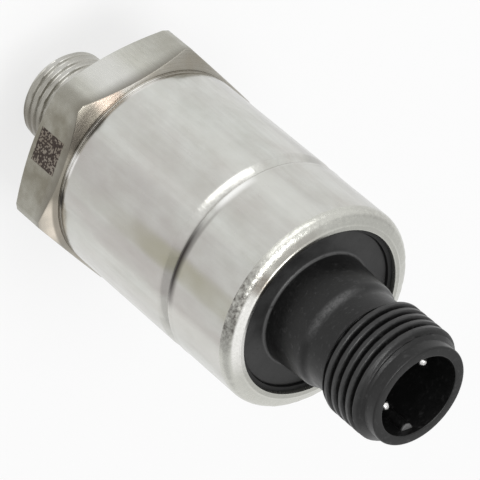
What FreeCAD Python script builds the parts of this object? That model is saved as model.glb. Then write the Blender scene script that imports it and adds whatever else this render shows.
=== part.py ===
import FreeCAD, Part
import os
import re

import Sketcher
from FreeCAD import Vector

# Pressure transmitter with a G1/8 stud and an M12x1 A-coded plug, in millimetres.
# +Z runs along the axis from the stud to the plug; z = 0 is the sealing face under the hexagon.

document = FreeCAD.newDocument("PressureTransmitter")
sheet = document.addObject("Spreadsheet::Sheet", "Sizes")

SIZES = {
    # pressure port: stud, hexagon and weld spigot
    "stud_length": 9.5,
    "stud_thread_radius": 4.864,
    "stud_chamfer": 0.7,
    "undercut_radius": 4.15,
    "undercut_length": 1.2,
    "pressure_bore_radius": 1.5,
    "seal_recess_radius": 6.0,
    "seal_recess_depth": 0.85,
    "seal_thickness": 1.0,
    "seal_clearance": 0.05,
    "hex_across_flats": 22.0,
    "hex_corner_cut": 0.2,
    "hex_height": 5.2,
    "hex_chamfer_height": 0.8,
    "shoulder_step": 0.26,
    "shoulder_height": 0.2,
    "weld_gap": 0.25,
    "spigot_height": 3.3,
    "boss_height": 2.0,
    # measuring cell
    "cell_flange_radius": 5.0,
    "cell_flange_height": 0.8,
    "cell_radius": 4.5,
    "cell_height": 4.6,
    "cell_bore_radius": 2.6,
    "diaphragm_thickness": 0.3,
    "gauge_radius": 2.2,
    "gauge_thickness": 0.15,
    # housing can
    "can_step": 0.29,
    "can_front_step": 0.07,
    "can_wall": 0.6,
    "can_edge_break": 0.3,
    "groove_level": 21.9,
    "groove_depth": 0.71,
    "groove_run_in": 1.1,
    "groove_inner_run": 0.8,
    "groove_lip": 0.5,
    "rim_level": 31.16,
    "rim_bend_radius": 1.05,
    "rim_width": 1.93,
    "seal_width": 1.74,
    # plug moulding
    "disc_recess": 0.84,
    "disc_edge_break": 0.25,
    "skirt_clearance": 0.04,
    "skirt_wall": 1.9,
    "skirt_seat": 0.9,
    "web_thickness": 2.3,
    "ledge_width": 1.0,
    "collar_base_step": 0.65,
    "collar_step": 0.4,
    "collar_level": 35.5,
    "collar_edge_break": 0.3,
    "neck_step": 0.75,
    "plug_level": 45.15,
    "plug_thread_radius": 5.95,
    "plug_thread_depth": 0.56,
    "plug_thread_pitch": 1.0,
    "plug_thread_length": 4.4,
    "plug_thread_run_in": 1.4,
    "nose_step": 0.75,
    "nose_length": 1.2,
    "nose_edge_break": 0.2,
    "socket_wall": 1.01,
    "socket_depth": 9.0,
    "key_radius": 0.6,
    "key_inset": 0.7,
    # contacts
    "contact_spacing": 5.2,
    "contact_radius": 0.5,
    "contact_inset": 1.8,
    "contact_point": 0.3,
    "contact_barb_radius": 0.75,
    "contact_barb_length": 1.2,
    "contact_tail_radius": 0.4,
    "contact_tail_length": 0.6,
    # boards and what carries them
    "board_thickness": 1.0,
    "gauge_board_margin": 0.81,
    "gauge_board_clearance": 0.25,
    "support_clearance": 0.15,
    "support_inset": 0.5,
    "carrier_wall": 1.4,
    "carrier_ring_height": 1.1,
    "carrier_post_height": 6.5,
    "carrier_post_width": 3.2,
    "carrier_grip": 0.9,
    "main_board_margin": 0.6,
    "main_board_height": 8.3,
    "main_board_thickness": 1.2,
    "main_board_lift": 0.8,
    "header_width": 6.0,
    "header_depth": 3.6,
    "header_height": 1.8,
    "link_radius": 0.3,
    "link_pitch": 1.27,
    "amplifier_width": 5.0,
    "amplifier_height": 1.0,
    "amplifier_clearance": 0.15,
    "chip_length": 2.0,
    "chip_width": 1.25,
    "chip_height": 0.85,
    "regulator_length": 3.0,
    "regulator_width": 1.6,
    "diode_length": 2.6,
    "diode_width": 1.5,
    "part_spacing": 0.6,
}

# Levels and radii that follow from the sizes.
WORDS = {"sqrt", "cos", "sin", "tan", "deg"}
HEX_TOP = "hex_height"
HEX_CORNER = "(hex_across_flats / sqrt(3) - hex_corner_cut)"
CAN_RADIUS = "(hex_across_flats / 2 - can_step)"
SHOULDER_RADIUS = f"({CAN_RADIUS} - shoulder_step)"
SHOULDER_TOP = f"({HEX_TOP} + shoulder_height)"
CAN_START = f"({SHOULDER_TOP} + weld_gap)"
CAN_BORE = f"({CAN_RADIUS} - can_wall)"
FRONT_RADIUS = f"({CAN_RADIUS} - can_front_step)"
FRONT_BORE = f"({FRONT_RADIUS} - can_wall)"
GROOVE_RADIUS = f"({CAN_RADIUS} - groove_depth)"
SPIGOT_TOP = f"({HEX_TOP} + spigot_height)"
BOSS_TOP = f"({SPIGOT_TOP} + boss_height)"
CELL_TOP = f"({BOSS_TOP} + cell_height)"
GAUGE_BOARD_TOP = f"({CELL_TOP} + 2 * gauge_thickness)"
GAUGE_BOARD_BOTTOM = f"({GAUGE_BOARD_TOP} - board_thickness)"
MAIN_BOARD_BOTTOM = f"({GAUGE_BOARD_TOP} + main_board_lift)"
RIM_UNDERSIDE = "(rim_level - can_wall)"
DISC_RADIUS = f"({FRONT_BORE} - seal_width)"
DISC_LEVEL = "(rim_level - disc_recess)"
SHOULDER_LEVEL = f"({RIM_UNDERSIDE} - seal_width)"
WEB_BOTTOM = f"({DISC_LEVEL} - web_thickness)"
LEDGE_LEVEL = f"({WEB_BOTTOM} - ledge_width)"
SKIRT_RADIUS = f"({FRONT_BORE} - skirt_clearance)"
SKIRT_BORE = f"({SKIRT_RADIUS} - skirt_wall)"
SKIRT_BOTTOM = "(groove_level + skirt_seat)"
SOCKET_FLOOR = "(plug_level - socket_depth)"
NOSE_START = "(plug_level - nose_length)"
NOSE_RADIUS = "(plug_thread_radius - nose_step)"
NECK_RADIUS = "(plug_thread_radius - neck_step)"
COLLAR_RADIUS = f"({NECK_RADIUS} + collar_step)"
SOCKET_RADIUS = f"({NOSE_RADIUS} - socket_wall)"
THREAD_TOP = f"({NOSE_START} - nose_step)"
THREAD_BOTTOM = f"({THREAD_TOP} - plug_thread_length)"
CONNECTOR_BOARD_BOTTOM = f"({LEDGE_LEVEL} - board_thickness)"
AMPLIFIER_BOTTOM = f"({GAUGE_BOARD_TOP} + header_height + amplifier_clearance)"
LINK_BOTTOM = f"({AMPLIFIER_BOTTOM} + amplifier_width + amplifier_clearance)"
GAUGE_BOARD_RADIUS = f"({CAN_BORE} - gauge_board_margin)"
MAIN_BOARD_HALF = f"({SKIRT_BORE} - main_board_margin)"


def fill_sheet():
    """Put every driving size in the sheet under its alias."""
    for row, (alias, value) in enumerate(SIZES.items(), start=1):
        sheet.set(f"A{row}", alias)
        sheet.set(f"B{row}", str(value))
        sheet.setAlias(f"B{row}", alias)
    document.recompute()


def bound(text):
    """Turn a formula of size names into an expression on the sheet."""
    return re.sub(r"[a-z_]+", lambda word: word[0] if word[0] in WORDS else "Sizes." + word[0], str(text))


def value(text):
    """The number that a formula of size names gives now."""
    return float(sheet.evalExpression(bound(text)))


def bind(thing, **formulas):
    """Bind properties of an object to formulas of size names."""
    for prop, text in formulas.items():
        thing.setExpression(prop.replace("__", "."), bound(text))


def body_of(label):
    body = document.addObject("PartDesign::Body", label)
    body.Label = label
    return body


def plane_of(body, role):
    return next(item for item in body.Origin.OriginFeatures if item.Role == role)


def sketch_on(body, name, role):
    sketch = body.newObject("Sketcher::SketchObject", name)
    sketch.AttachmentSupport = [(plane_of(body, role), "")]
    sketch.MapMode = "FlatFace"
    return sketch


def pin_point(sketch, geometry, point, across, up):
    """Fix one point of the sketch at two formulas of size names."""
    for kind, text in (("DistanceX", across), ("DistanceY", up)):
        index = sketch.addConstraint(Sketcher.Constraint(kind, -1, 1, geometry, point, value(text)))
        sketch.setExpression(f"Constraints[{index}]", bound(text))


def outline(sketch, corners):
    """Close a profile of straight runs through corners (across, up)."""
    places = [Vector(value(across), value(up), 0) for across, up in corners]
    for index, start in enumerate(places):
        sketch.addGeometry(Part.LineSegment(start, places[(index + 1) % len(places)]), False)
    for index, (across, up) in enumerate(corners):
        joint = (index, 2, (index + 1) % len(corners), 1)
        sketch.addConstraint(Sketcher.Constraint("Coincident", *joint))
        pin_point(sketch, index, 1, across, up)


def revolved(body, corners):
    """Add a profile in the XZ plane to the body, turned about Z."""
    sketch = sketch_on(body, "Profile", "XZ_Plane")
    outline(sketch, corners)
    turn = body.newObject("PartDesign::Revolution", "Turned")
    turn.Profile = sketch
    turn.ReferenceAxis = (plane_of(body, "Z_Axis"), [""])
    turn.Angle = 360
    document.recompute()
    return turn


def turned(label, corners):
    body = body_of(label)
    revolved(body, corners)
    return body


def box(label, size, low):
    thing = document.addObject("Part::Box", label)
    thing.Label = label
    bind(thing, Length=size[0], Width=size[1], Height=size[2])
    bind(thing, Placement__Base__x=low[0], Placement__Base__y=low[1], Placement__Base__z=low[2])
    return thing


def cylinder(label, radius, height, low):
    thing = document.addObject("Part::Cylinder", label)
    thing.Label = label
    bind(thing, Radius=radius, Height=height)
    bind(thing, Placement__Base__x=low[0], Placement__Base__y=low[1], Placement__Base__z=low[2])
    return thing


def joined(label, things):
    thing = document.addObject("Part::MultiFuse", label)
    thing.Label = label
    thing.Shapes = things
    return thing


def grouped(label, things):
    thing = document.addObject("Part::Compound", label)
    thing.Label = label
    thing.Links = things
    return thing


def cut(label, base, tool):
    thing = document.addObject("Part::Cut", label)
    thing.Label = label
    thing.Base = base
    thing.Tool = tool
    return thing


def make_port():
    """Stud, hexagon and weld spigot, turned from hexagon bar in one piece."""
    hex_shoulder = f"({HEX_TOP} - hex_chamfer_height)"
    thread_start = "(-undercut_length - (stud_thread_radius - undercut_radius))"
    body = turned("pressure_port", [
        ("pressure_bore_radius", "-stud_length"),
        ("stud_thread_radius - stud_chamfer", "-stud_length"),
        ("stud_thread_radius", "-stud_length + stud_chamfer"),
        ("stud_thread_radius", thread_start),
        ("undercut_radius", "-undercut_length"),
        ("undercut_radius", "seal_recess_depth"),
        ("seal_recess_radius", "seal_recess_depth"),
        ("seal_recess_radius", "0"),
        (CAN_RADIUS, "0"),
        (HEX_CORNER, "hex_chamfer_height"),
        (HEX_CORNER, hex_shoulder),
        (CAN_RADIUS, HEX_TOP),
        (SHOULDER_RADIUS, HEX_TOP),
        (SHOULDER_RADIUS, SHOULDER_TOP),
        (CAN_BORE, SHOULDER_TOP),
        (CAN_BORE, SPIGOT_TOP),
        ("cell_flange_radius", SPIGOT_TOP),
        ("cell_flange_radius", BOSS_TOP),
        ("pressure_bore_radius", BOSS_TOP),
    ])
    sketch = sketch_on(body, "FlatOutline", "XY_Plane")
    near, far, side = "hex_across_flats / 2", "hex_across_flats", "hex_across_flats / 2"
    outline(sketch, [(near, f"-{side}"), (far, f"-{side}"), (far, side), (near, side)])
    flat = body.newObject("PartDesign::Pocket", "Flat")
    flat.Profile = sketch
    flat.Reversed = True
    bind(flat, Length="hex_height")
    flats = body.newObject("PartDesign::PolarPattern", "Flats")
    flats.Originals = [flat]
    flats.Axis = (sketch, ["N_Axis"])
    flats.Angle = 360
    flats.Occurrences = 6
    body.Tip = flats
    return body


def make_port_seal():
    """Profile ring that lies in the recess of the sealing face."""
    inner, outer = "undercut_radius + seal_clearance", "seal_recess_radius - seal_clearance"
    bottom = "seal_recess_depth - seal_thickness"
    return turned("port_seal_ring", [
        (inner, bottom), (outer, bottom), (outer, "seal_recess_depth"), (inner, "seal_recess_depth"),
    ])


def make_cell():
    """Steel cup whose thin floor is the diaphragm, welded to the port's boss."""
    return turned("measuring_cell", [
        ("cell_bore_radius", BOSS_TOP),
        ("cell_flange_radius", BOSS_TOP),
        ("cell_flange_radius", f"{BOSS_TOP} + cell_flange_height"),
        ("cell_radius", f"{BOSS_TOP} + cell_flange_height"),
        ("cell_radius", CELL_TOP),
        ("0", CELL_TOP),
        ("0", f"{CELL_TOP} - diaphragm_thickness"),
        ("cell_bore_radius", f"{CELL_TOP} - diaphragm_thickness"),
    ])


def make_support():
    """Moulded ring round the cell that carries the gauge board."""
    inner, outer = "cell_flange_radius + support_clearance", f"{GAUGE_BOARD_RADIUS} - support_inset"
    return turned("support_ring", [
        (inner, SPIGOT_TOP),
        (outer, SPIGOT_TOP),
        (outer, GAUGE_BOARD_BOTTOM),
        (inner, GAUGE_BOARD_BOTTOM),
    ])


def make_can():
    """Drawn can with a rolled groove and a rim crimped over the plug."""
    rim_bend = [(f"{FRONT_RADIUS} - rim_bend_radius * (1 - cos({turn} deg))",
                 f"rim_level - rim_bend_radius * (1 - sin({turn} deg))") for turn in (0, 30, 60, 90)]
    bump_low, bump_high = "(groove_level - groove_inner_run)", SKIRT_BOTTOM
    return turned("housing_can", [
        (CAN_BORE, CAN_START),
        (f"{CAN_RADIUS} - can_edge_break", CAN_START),
        (CAN_RADIUS, f"{CAN_START} + can_edge_break"),
        (CAN_RADIUS, "groove_level - groove_run_in"),
        (GROOVE_RADIUS, "groove_level"),
        (f"{FRONT_RADIUS} - groove_lip", "groove_level"),
        (FRONT_RADIUS, "groove_level + groove_lip"),
        *rim_bend,
        (f"{FRONT_RADIUS} - rim_width", "rim_level"),
        (f"{FRONT_RADIUS} - rim_width", RIM_UNDERSIDE),
        (f"{FRONT_RADIUS} - rim_bend_radius", RIM_UNDERSIDE),
        (FRONT_BORE, "rim_level - rim_bend_radius"),
        (FRONT_BORE, bump_high),
        (f"{GROOVE_RADIUS} - can_wall", "groove_level"),
        (CAN_BORE, bump_low),
    ])


def make_contact(name, side):
    """Turned contact pin with a barb that the moulding grips."""
    body = turned(name, [
        ("0", f"{CONNECTOR_BOARD_BOTTOM} - contact_tail_length"),
        ("contact_tail_radius", f"{CONNECTOR_BOARD_BOTTOM} - contact_tail_length"),
        ("contact_tail_radius", WEB_BOTTOM),
        ("contact_radius", WEB_BOTTOM),
        ("contact_radius", DISC_LEVEL),
        ("contact_barb_radius", DISC_LEVEL),
        ("contact_barb_radius", f"{DISC_LEVEL} + contact_barb_length"),
        ("contact_radius", f"{DISC_LEVEL} + contact_barb_length"),
        ("contact_radius", "plug_level - contact_inset - contact_point"),
        ("contact_radius - contact_point", "plug_level - contact_inset"),
        ("0", "plug_level - contact_inset"),
    ])
    bind(body, Placement__Base__x=f"{side} * contact_spacing / 2")
    return body


def make_plug(contacts):
    """Moulded plug: skirt, disc, collar, neck, M12 thread and keyed socket, round the contacts."""
    body = turned("plug_moulding", [
        ("0", WEB_BOTTOM),
        (f"{SKIRT_BORE} - ledge_width", WEB_BOTTOM),
        (f"{SKIRT_BORE} - ledge_width", LEDGE_LEVEL),
        (SKIRT_BORE, LEDGE_LEVEL),
        (SKIRT_BORE, SKIRT_BOTTOM),
        (SKIRT_RADIUS, SKIRT_BOTTOM),
        (SKIRT_RADIUS, SHOULDER_LEVEL),
        (DISC_RADIUS, SHOULDER_LEVEL),
        (DISC_RADIUS, f"{DISC_LEVEL} - disc_edge_break"),
        (f"{DISC_RADIUS} - disc_edge_break", DISC_LEVEL),
        (f"{NECK_RADIUS} + collar_base_step", DISC_LEVEL),
        (COLLAR_RADIUS, "collar_level - collar_edge_break"),
        (f"{COLLAR_RADIUS} - collar_edge_break", "collar_level"),
        (NECK_RADIUS, "collar_level"),
        (NECK_RADIUS, f"{THREAD_BOTTOM} - neck_step"),
        ("plug_thread_radius", THREAD_BOTTOM),
        ("plug_thread_radius", THREAD_TOP),
        (NOSE_RADIUS, NOSE_START),
        (NOSE_RADIUS, "plug_level - nose_edge_break"),
        (f"{NOSE_RADIUS} - nose_edge_break", "plug_level"),
        (SOCKET_RADIUS, "plug_level"),
        (SOCKET_RADIUS, SOCKET_FLOOR),
        ("0", SOCKET_FLOOR),
    ])
    cut_thread(body)
    sketch = sketch_on(body, "KeyOutline", "XY_Plane")
    seat = f"-({SOCKET_RADIUS} * cos(45 deg))"
    circle = sketch.addGeometry(Part.Circle(Vector(value(seat), value(seat), 0), Vector(0, 0, 1),
                                            value("key_radius")), False)
    pin_point(sketch, circle, 3, seat, seat)
    radius = sketch.addConstraint(Sketcher.Constraint("Radius", circle, value("key_radius")))
    sketch.setExpression(f"Constraints[{radius}]", bound("key_radius"))
    bind(sketch, AttachmentOffset__Base__z=SOCKET_FLOOR)
    key = body.newObject("PartDesign::Pad", "Key")
    key.Profile = sketch
    bind(key, Length="socket_depth - key_inset")
    document.recompute()
    return cut("connector_housing", body, joined("contact_space", contacts))


def cut_thread(body):
    """Cut the M12 thread as a real helix from below the thread into its lead-in cone."""
    sketch = sketch_on(body, "ThreadTooth", "XZ_Plane")
    root = "(plug_thread_radius - plug_thread_depth)"
    crest = "(plug_thread_radius + plug_thread_pitch / 20)"
    root_half = "plug_thread_pitch / 8"
    crest_half = f"({root_half} + ({crest} - {root}) * tan(30 deg))"
    start = f"({THREAD_BOTTOM} - plug_thread_run_in)"
    outline(sketch, [
        (root, f"{start} - {root_half}"),
        (crest, f"{start} - {crest_half}"),
        (crest, f"{start} + {crest_half}"),
        (root, f"{start} + {root_half}"),
    ])
    thread = body.newObject("PartDesign::SubtractiveHelix", "Thread")
    thread.Profile = sketch
    thread.ReferenceAxis = (sketch, ["V_Axis"])
    thread.Mode = 0
    height = "plug_thread_run_in + plug_thread_length + 1.5 * plug_thread_pitch"
    bind(thread, Pitch="plug_thread_pitch", Height=height)
    document.recompute()
    return thread


def make_plug_seal():
    """Sealing ring squeezed between the plug's disc, its shoulder and the crimped rim."""
    return turned("can_seal", [
        (DISC_RADIUS, SHOULDER_LEVEL),
        (FRONT_BORE, SHOULDER_LEVEL),
        (FRONT_BORE, f"{RIM_UNDERSIDE} - rim_bend_radius"),
        (f"{FRONT_BORE} - rim_bend_radius + can_wall", RIM_UNDERSIDE),
        (DISC_RADIUS, RIM_UNDERSIDE),
    ])


def make_boards(contacts):
    """The two round boards, the upright board between them and what joins them."""
    main_size = (f"2 * {MAIN_BOARD_HALF}", "main_board_thickness", "main_board_height")
    main_low = (f"-{MAIN_BOARD_HALF}", "-main_board_thickness / 2", MAIN_BOARD_BOTTOM)
    main_board = box("main_board", main_size, main_low)

    low = ("0", "0", GAUGE_BOARD_BOTTOM)
    disc = cylinder("gauge_board_blank", GAUGE_BOARD_RADIUS, "board_thickness", low)
    window = cylinder("gauge_window", "cell_radius + gauge_board_clearance", "board_thickness", low)
    cut("gauge_board", disc, window)

    low = ("0", "0", GAUGE_BOARD_TOP)
    ring = cylinder("carrier_rim", GAUGE_BOARD_RADIUS, "carrier_ring_height", low)
    hole = cylinder("carrier_hole", f"{GAUGE_BOARD_RADIUS} - carrier_wall", "carrier_ring_height", low)
    foot = cut("carrier_ring", ring, hole)
    post = ("carrier_wall + carrier_grip", "carrier_post_width", "carrier_post_height")
    inner = f"({MAIN_BOARD_HALF} - carrier_grip)"
    right = box("post_right", post, (inner, "-carrier_post_width / 2", GAUGE_BOARD_TOP))
    left = box("post_left", post, (f"-{inner} - carrier_wall - carrier_grip", "-carrier_post_width / 2",
                                   GAUGE_BOARD_TOP))
    cut("board_carrier", joined("carrier_blank", [foot, right, left]), main_board)

    header_low = ("-header_width / 2", "-header_depth / 2", GAUGE_BOARD_TOP)
    header = box("header_blank", ("header_width", "header_depth", "header_height"), header_low)
    cut("gauge_header", header, main_board)

    links = [cylinder(f"link_{index}", "link_radius", f"{LEDGE_LEVEL} - {LINK_BOTTOM}",
                      (f"{index} * link_pitch", "main_board_thickness / 2 + link_radius", LINK_BOTTOM))
             for index in (-1, 0, 1)]
    link_pins = grouped("link_pins", links)
    low = ("0", "0", CONNECTOR_BOARD_BOTTOM)
    blank = cylinder("connector_board_blank", SKIRT_BORE, "board_thickness", low)
    cut("connector_board", blank, joined("pin_holes", contacts + links))


def make_chips():
    """Components soldered on the boards."""
    front, back = "main_board_thickness / 2", "-main_board_thickness / 2"
    middle = f"({MAIN_BOARD_BOTTOM} + main_board_height / 2)"
    box("amplifier", ("amplifier_width", "amplifier_height", "amplifier_width"),
        ("-amplifier_width / 2", front, AMPLIFIER_BOTTOM))
    chip = ("chip_length", "chip_height", "chip_width")
    column = "(-amplifier_width / 2 - part_spacing - chip_length)"
    row = "(chip_width + part_spacing)"
    grouped("signal_capacitors", [
        box(f"signal_capacitor_{index}", chip, (column, front, f"{middle} + {index} * {row}"))
        for index in (-1, 0)])
    box("regulator", ("regulator_length", "chip_height", "regulator_width"),
        ("part_spacing", f"{back} - chip_height", middle))
    box("protection_diode", ("diode_length", "chip_height", "diode_width"),
        ("-part_spacing - diode_length", f"{back} - chip_height", middle))
    filters = [box(f"filter_capacitor_{index}", ("chip_length", "chip_width", "chip_height"),
                   (f"{index} * (chip_length + part_spacing) - chip_length / 2", "-contact_spacing",
                    f"{CONNECTOR_BOARD_BOTTOM} - chip_height")) for index in (-0.5, 0.5)]
    grouped("filter_capacitors", filters)


def make_gauge():
    cylinder("strain_gauge", "gauge_radius", "gauge_thickness", ("0", "0", CELL_TOP))


NODES = [
    "pressure_port", "port_seal_ring", "measuring_cell", "strain_gauge", "support_ring", "gauge_board",
    "gauge_header", "board_carrier", "main_board", "amplifier", "regulator", "protection_diode",
    "signal_capacitors", "link_pins", "connector_board", "filter_capacitors", "can_seal", "housing_can",
    "connector_housing", "contact_pin_1", "contact_pin_3",
]


def check_and_export():
    """Stop on any failed object or bad shape, and write one STEP file for each node."""
    document.recompute()
    failed = [item.Label for item in document.Objects if {"Invalid", "Error"} & set(item.State)]
    if failed:
        raise RuntimeError(f"failed objects: {failed}")
    shapes = {label: document.getObjectsByLabel(label)[0].Shape for label in NODES}
    for label, shape in shapes.items():
        if shape.isNull() or not shape.isValid() or not shape.Solids:
            raise RuntimeError(f"bad shape: {label}")
    os.makedirs("parts", exist_ok=True)
    for label, shape in shapes.items():
        shape.exportStep(f"parts/{label}.step")
        print(f"{label}: {len(shape.Solids)} solid(s), {shape.Volume:.2f} mm3")


fill_sheet()
make_port()
make_port_seal()
make_cell()
make_gauge()
make_support()
make_can()
contact_pins = [make_contact("contact_pin_1", -1), make_contact("contact_pin_3", 1)]
make_plug(contact_pins)
make_plug_seal()
make_boards(contact_pins)
make_chips()
check_and_export()
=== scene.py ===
import math
from functools import cached_property

import bmesh
import bpy
from mathutils import Matrix, Vector


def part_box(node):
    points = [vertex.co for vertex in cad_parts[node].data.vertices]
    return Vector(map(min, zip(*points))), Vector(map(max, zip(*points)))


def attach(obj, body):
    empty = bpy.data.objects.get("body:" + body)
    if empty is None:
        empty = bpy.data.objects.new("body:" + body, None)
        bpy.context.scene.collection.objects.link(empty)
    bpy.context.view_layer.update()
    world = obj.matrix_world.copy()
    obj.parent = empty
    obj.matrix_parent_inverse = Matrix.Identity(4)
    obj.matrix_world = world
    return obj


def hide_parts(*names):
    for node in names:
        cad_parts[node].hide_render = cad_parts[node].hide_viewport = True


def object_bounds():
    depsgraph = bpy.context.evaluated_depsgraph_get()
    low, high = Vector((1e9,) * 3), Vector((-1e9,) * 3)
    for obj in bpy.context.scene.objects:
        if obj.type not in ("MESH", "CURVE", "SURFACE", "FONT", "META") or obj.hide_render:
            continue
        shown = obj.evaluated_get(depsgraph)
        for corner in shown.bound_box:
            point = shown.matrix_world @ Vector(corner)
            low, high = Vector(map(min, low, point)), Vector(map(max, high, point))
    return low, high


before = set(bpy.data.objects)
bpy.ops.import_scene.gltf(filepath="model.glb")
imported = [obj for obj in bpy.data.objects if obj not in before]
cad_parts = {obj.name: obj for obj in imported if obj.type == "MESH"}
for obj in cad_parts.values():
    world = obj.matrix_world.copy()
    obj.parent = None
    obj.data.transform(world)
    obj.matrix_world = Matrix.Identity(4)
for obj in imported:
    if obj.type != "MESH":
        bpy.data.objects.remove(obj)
cad_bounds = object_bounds()

# Visual model of a pressure transmitter. Lengths below are in millimetres, as in the CAD, and
# levels run along the axis from the stud (low) to the plug (high).
MM = 0.001


def corners_of(node):
    """Lowest and highest corner of a node's box, in millimetres."""
    low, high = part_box(node)
    return low / MM, high / MM


port_low, port_high = corners_of("pressure_port")
can_low, can_high = corners_of("housing_can")
plug_low, plug_high = corners_of("connector_housing")
pin_low, pin_high = corners_of("contact_pin_3")

# Pressure port. A thread's flats are the shares of its pitch that are flat at root and crest, and
# its root level is where the root crosses the face angle of 90 degrees.
FLAT_RADIUS, CORNER_RADIUS = port_high.x, port_high.y
HEX_FACE_RADIUS, HEX_HEIGHT, HEX_CHAMFER = 10.71, 5.2, 0.8
SHOULDER_RADIUS, SHOULDER_HEIGHT = 10.6, 0.2
WELD_RADIUS, WELD_FOOT, WELD_GAP = 10.48, 0.06, 0.01
STUD_RADIUS, STUD_DEPTH, STUD_PITCH, STUD_CHAMFER = 4.864, 0.28, 0.907, 0.7
STUD_ROOT_LEVEL, STUD_FLATS, STUD_ROW_SPACING = -6.15, (0.06, 0.42), 0.06
UNDERCUT_RADIUS, UNDERCUT_LENGTH = 4.15, 1.2
RECESS_RADIUS, RECESS_DEPTH = 6.0, 0.85
BORE_RADIUS = 1.5
BOSS_RADIUS, BOSS_HEIGHT = 5.0, 2.0

# Housing can. The run-in's shares are how far its points are on the way down to the groove.
CAN_WALL, CAN_EDGE = 0.6, 0.14
FRONT_STEP = 0.07
GROOVE_LEVEL, GROOVE_DEPTH, GROOVE_RUN_IN, GROOVE_LIP = 21.9, 0.71, 1.1, 0.5
RUN_IN_LENGTH, RUN_IN_CURVE = 1.1 * GROOVE_RUN_IN, 1.45
RUN_IN_SHARES = (0, 0.12, 0.27, 0.43, 0.6, 0.78, 0.93)
RIM_BEND, RIM_WIDTH, RIM_LIP, RIM_DROP = 1.05, 1.93, 0.6, 0.28
BEND_STEPS, BEND_TURN = 12, math.radians(62)
# Small dents of the crimp: waves round the rim, phase
DENTS, DENT_DEPTH = ((9, 0.4), (17, 1.9), (29, 3.1), (47, 0.8), (71, 2.2)), 0.03

# Plug moulding
DISC_RADIUS, DISC_LEVEL, DISC_SHOULDER = 8.3, 30.32, 28.82
WEB_LEVEL, SKIRT_WALL = 28.02, 1.9
COLLAR_BASE, COLLAR_RADIUS, COLLAR_LEVEL, COLLAR_ROUND = 5.85, 5.6, 35.5, 0.45
NECK_RADIUS, NOSE_RADIUS, NOSE_LENGTH, NOSE_ROUND = 5.2, 5.2, 1.2, 0.2
THREAD_RADIUS, THREAD_DEPTH, THREAD_PITCH, THREAD_LENGTH = 5.95, 0.56, 1.0, 4.4
THREAD_ROOT_LEVEL, THREAD_FLATS, THREAD_ROW_SPACING = 40.64, (0.10, 0.34), 0.045
SOCKET_RADIUS, SOCKET_DEPTH = 4.19, 9.0
KEY_RADIUS, KEY_INSET, KEY_ANGLE = 0.6, 0.7, math.radians(225)

# Contacts
PIN_RADIUS, PIN_TAIL_RADIUS, PIN_BARB_RADIUS, PIN_BARB_LENGTH = 0.5, 0.4, 0.75, 1.2
PIN_TIP_RADIUS, PIN_TIP_LENGTH = 0.22, 0.3

can_bore = can_high.x - CAN_WALL
key_level = plug_high.z - KEY_INSET
thread_top = plug_high.z - NOSE_LENGTH - (THREAD_RADIUS - NOSE_RADIUS)
thread_bottom = thread_top - THREAD_LENGTH

# How finely shapes are drawn: steps of a rounding, the most of a line that a rounding may take
# on each side, and the angle from which an edge is drawn sharp
ROUND_STEPS, ROUND_SHARE, SHARP_ANGLE = 5, 0.45, math.radians(38)
CORNER_ROWS = ROUND_STEPS + 1


def rounded(corners, steps=ROUND_STEPS):
    """Profile points (radius, level) with each corner (radius, level, rounding) turned into a curve."""
    points = []
    for index, (across, up, size) in enumerate(corners):
        here = Vector((across, up))
        if not size:
            points.append(here)
            continue
        before = Vector(corners[index - 1][:2]) - here
        after = Vector(corners[(index + 1) % len(corners)][:2]) - here
        size = min(size, ROUND_SHARE * before.length, ROUND_SHARE * after.length)
        start, end = here + before.normalized() * size, here + after.normalized() * size
        for step in range(steps + 1):
            share = step / steps
            points.append(start * (1 - share) ** 2 + here * 2 * share * (1 - share) + end * share**2)
    return points


def threaded(level, angle, crest, depth, pitch, root_level, flats):
    """Radius of a right-hand thread with softly rounded flanks, at a level and an angle."""
    root_width, crest_width = flats
    turns = (level - root_level) / pitch - (angle - math.pi / 2) / math.tau
    from_root = abs(turns - round(turns))
    flank = 0.5 - (root_width + crest_width) / 2
    rise = min(max((from_root - root_width / 2) / flank, 0), 1)
    return crest - depth * (1 - (0.5 * rise + 0.5 * rise * rise * (3 - 2 * rise)))


def levels(start, end, spacing):
    """Even levels from start to end, no further apart than the spacing."""
    count = math.ceil((end - start) / spacing)
    return [start + (end - start) * step / count for step in range(count + 1)]


def swept(name, column, angles, closed, materials, second_rows=range(0)):
    """Mesh through one profile column for each angle round the axis.

    Faces that start in one of the second rows get the second material.
    """
    mesh = bmesh.new()
    rows = []
    for angle in angles:
        line = column(angle)
        rows.append([
            mesh.verts.new((r * math.cos(angle) * MM, r * math.sin(angle) * MM, z * MM)) for r, z in line
        ])
    size = len(rows[0])
    for index, row in enumerate(rows):
        following = rows[(index + 1) % len(rows)]
        for step in range(size if closed else size - 1):
            other = (step + 1) % size
            face = mesh.faces.new((row[step], following[step], following[other], row[other]))
            face.material_index = 1 if step in second_rows else 0
    bmesh.ops.remove_doubles(mesh, verts=mesh.verts, dist=1e-8)
    bmesh.ops.dissolve_degenerate(mesh, edges=mesh.edges, dist=1e-8)
    bmesh.ops.recalc_face_normals(mesh, faces=mesh.faces)
    data = bpy.data.meshes.new(name)
    mesh.to_mesh(data)
    mesh.free()
    data.shade_smooth()
    data.set_sharp_from_angle(angle=SHARP_ANGLE)
    for material in materials:
        data.materials.append(material)
    piece = bpy.data.objects.new(name, data)
    bpy.context.scene.collection.objects.link(piece)
    return piece


def turn_angles(count, extra=()):
    """Even angles round the axis, with some extra ones among them."""
    even = [math.tau * step / count for step in range(count)]
    return sorted(set(even) | {angle % math.tau for angle in extra})


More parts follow.
